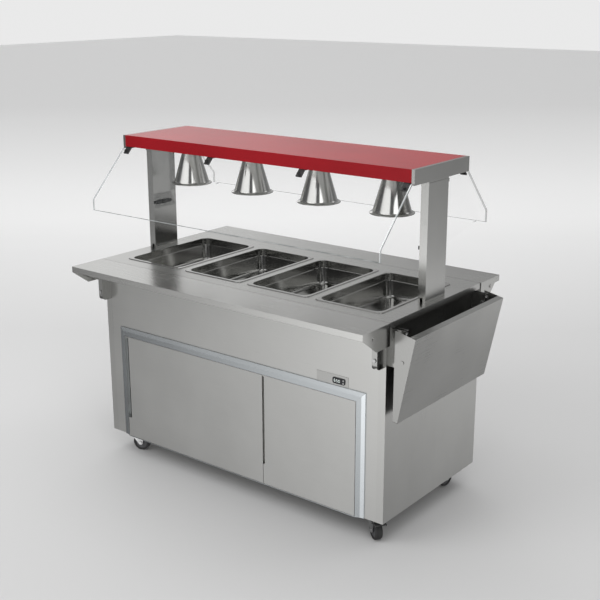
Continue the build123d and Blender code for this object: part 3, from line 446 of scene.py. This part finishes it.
# ---------------------------------------------------------------- lights
def lamp(name, place, aim, size, power):
    """A soft rectangular light that the steel does not mirror."""
    light = bpy.data.lights.new(name, "AREA")
    light.shape = "RECTANGLE"
    light.size, light.size_y = size
    light.energy = power
    holder = bpy.data.objects.new(name, light)
    scene.collection.objects.link(holder)
    holder.location = place
    holder.rotation_euler = (Vector(aim) - Vector(place)).to_track_quat("-Z", "Y").to_euler()
    holder.visible_glossy = False


lamp("key", place=(-2.5, -4.5, 4.5), aim=(0, 0, 0.6), size=(4, 3), power=120)
lamp("fill", place=(4.0, -3.0, 4.0), aim=(0, 0, 0.6), size=(4, 3), power=60)
lamp("top", place=(0, 0.5, 5.0), aim=(0, 0, 0), size=(6, 6), power=110)

# ---------------------------------------------------------------- camera
elevation, roll = math.radians(16.485), math.radians(-0.179)
distance = 4.7445
away = Vector((math.sin(azimuth) * math.cos(elevation), -math.cos(azimuth) * math.cos(elevation),
               math.sin(elevation)))
pans_middle = (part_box("pan_1")[0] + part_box("pan_4")[1]) / 2
target = Vector((pans_middle.x, pans_middle.y + 0.11018, 0.79866))
camera_data = bpy.data.cameras.new("camera")
camera_data.sensor_width = 36
camera_data.lens = 63.438
camera_data.shift_x = 0.0041667
camera_data.shift_y = -0.0075
camera_data.clip_end = 200
camera = bpy.data.objects.new("camera", camera_data)
scene.collection.objects.link(camera)
camera.location = target + away * distance
camera.rotation_euler = (-away).to_track_quat("-Z", "Y").to_euler()
camera.rotation_euler.rotate_axis("Z", roll)
scene.camera = camera

# ---------------------------------------------------------------- studio that the steel mirrors
world = bpy.data.worlds.new("studio")
scene.world = world
world.use_nodes = True
tree = world.node_tree


def studio_math(kind, a, b=0.0):
    return math_node(tree, kind, a, b)


def studio_ramp(value, stops):
    """A grey that follows a list of places and brightnesses."""
    node = tree.nodes.new("ShaderNodeValToRGB")
    ramp = node.color_ramp
    while len(ramp.elements) < len(stops):
        ramp.elements.new(0.5)
    for element, (place, shade) in zip(ramp.elements, stops):
        element.position = place
        element.color = (shade, shade, shade, 1)
    tree.links.new(value, node.inputs["Fac"])
    return node.outputs["Color"]


def step_at(start, end):
    """Stops of a ramp that goes from 0 to 1 between two places."""
    return [(0.0, 0.0), (start, 0.0), (end, 1.0), (1.0, 1.0)]


direction = tree.nodes.new("ShaderNodeSeparateXYZ")
tree.links.new(tree.nodes.new("ShaderNodeTexCoord").outputs["Generated"], direction.inputs[0])
x, y, rise = direction.outputs

# Angle round the studio: 0.5 is behind the camera, and it grows towards the camera's right
x_part = studio_math("ADD", studio_math("MULTIPLY", x, math.cos(azimuth)),
                     studio_math("MULTIPLY", y, math.sin(azimuth)))
y_part = studio_math("SUBTRACT", studio_math("MULTIPLY", x, math.sin(azimuth)),
                     studio_math("MULTIPLY", y, math.cos(azimuth)))
turned = studio_math("ARCTAN2", x_part, y_part)
around = studio_math("ADD", studio_math("DIVIDE", turned, 2 * math.pi), 0.5)

high_band = studio_ramp(around, [
    (0.0, 0.62), (0.03, 0.9), (0.08, 0.6), (0.14, 0.2), (0.26, 0.06), (0.29, 0.95), (0.44, 0.95),
    (0.452, 0.05), (0.505, 0.05), (0.52, 1.4), (0.585, 1.4), (0.60, 0.15), (0.74, 0.14), (0.77, 0.7),
    (0.80, 0.7), (0.83, 0.10), (0.92, 0.22), (0.97, 0.34), (1.0, 0.58)])
low_band = studio_ramp(around, [
    (0.0, 0.62), (0.03, 0.9), (0.08, 0.5), (0.14, 0.10), (0.2, 0.05), (0.5, 0.05), (0.8, 0.08),
    (0.92, 0.22), (0.97, 0.34), (1.0, 0.58)])
ground = studio_ramp(around, [
    (0.0, 0.5), (0.15, 0.25), (0.222, 0.15), (0.261, 0.30), (0.289, 0.95), (0.317, 1.7), (0.35, 1.5),
    (0.42, 1.0), (0.5, 0.8), (0.67, 0.7), (0.76, 0.70), (0.82, 0.60), (1.0, 0.5)])
dimming = studio_ramp(studio_math("ADD", rise, 1.0), [
    (0.0, 0.36), (0.54, 0.42), (0.575, 0.55), (0.62, 1.0), (0.70, 1.35), (0.75, 0.85), (0.83, 0.55),
    (1.0, 0.5)])
ceiling = (0.85, 0.85, 0.85)
backdrop = (0.82, 0.82, 0.82)

lower_half = mix_node(tree, 1.0, ground, dimming, "MULTIPLY")
walls = mix_node(tree, studio_ramp(rise, step_at(0.17, 0.33)), low_band, high_band)
upper_half = mix_node(tree, studio_ramp(rise, step_at(0.72, 0.85)), walls, ceiling)
horizon = studio_ramp(studio_math("ADD", rise, 0.5), step_at(0.47, 0.5))
mirrored = mix_node(tree, horizon, lower_half, upper_half)
camera_ray = tree.nodes.new("ShaderNodeLightPath").outputs["Is Camera Ray"]
shown = mix_node(tree, camera_ray, mirrored, backdrop)
tree.links.new(shown, tree.nodes["Background"].inputs["Color"])
tree.nodes["Background"].inputs["Strength"].default_value = 1.0
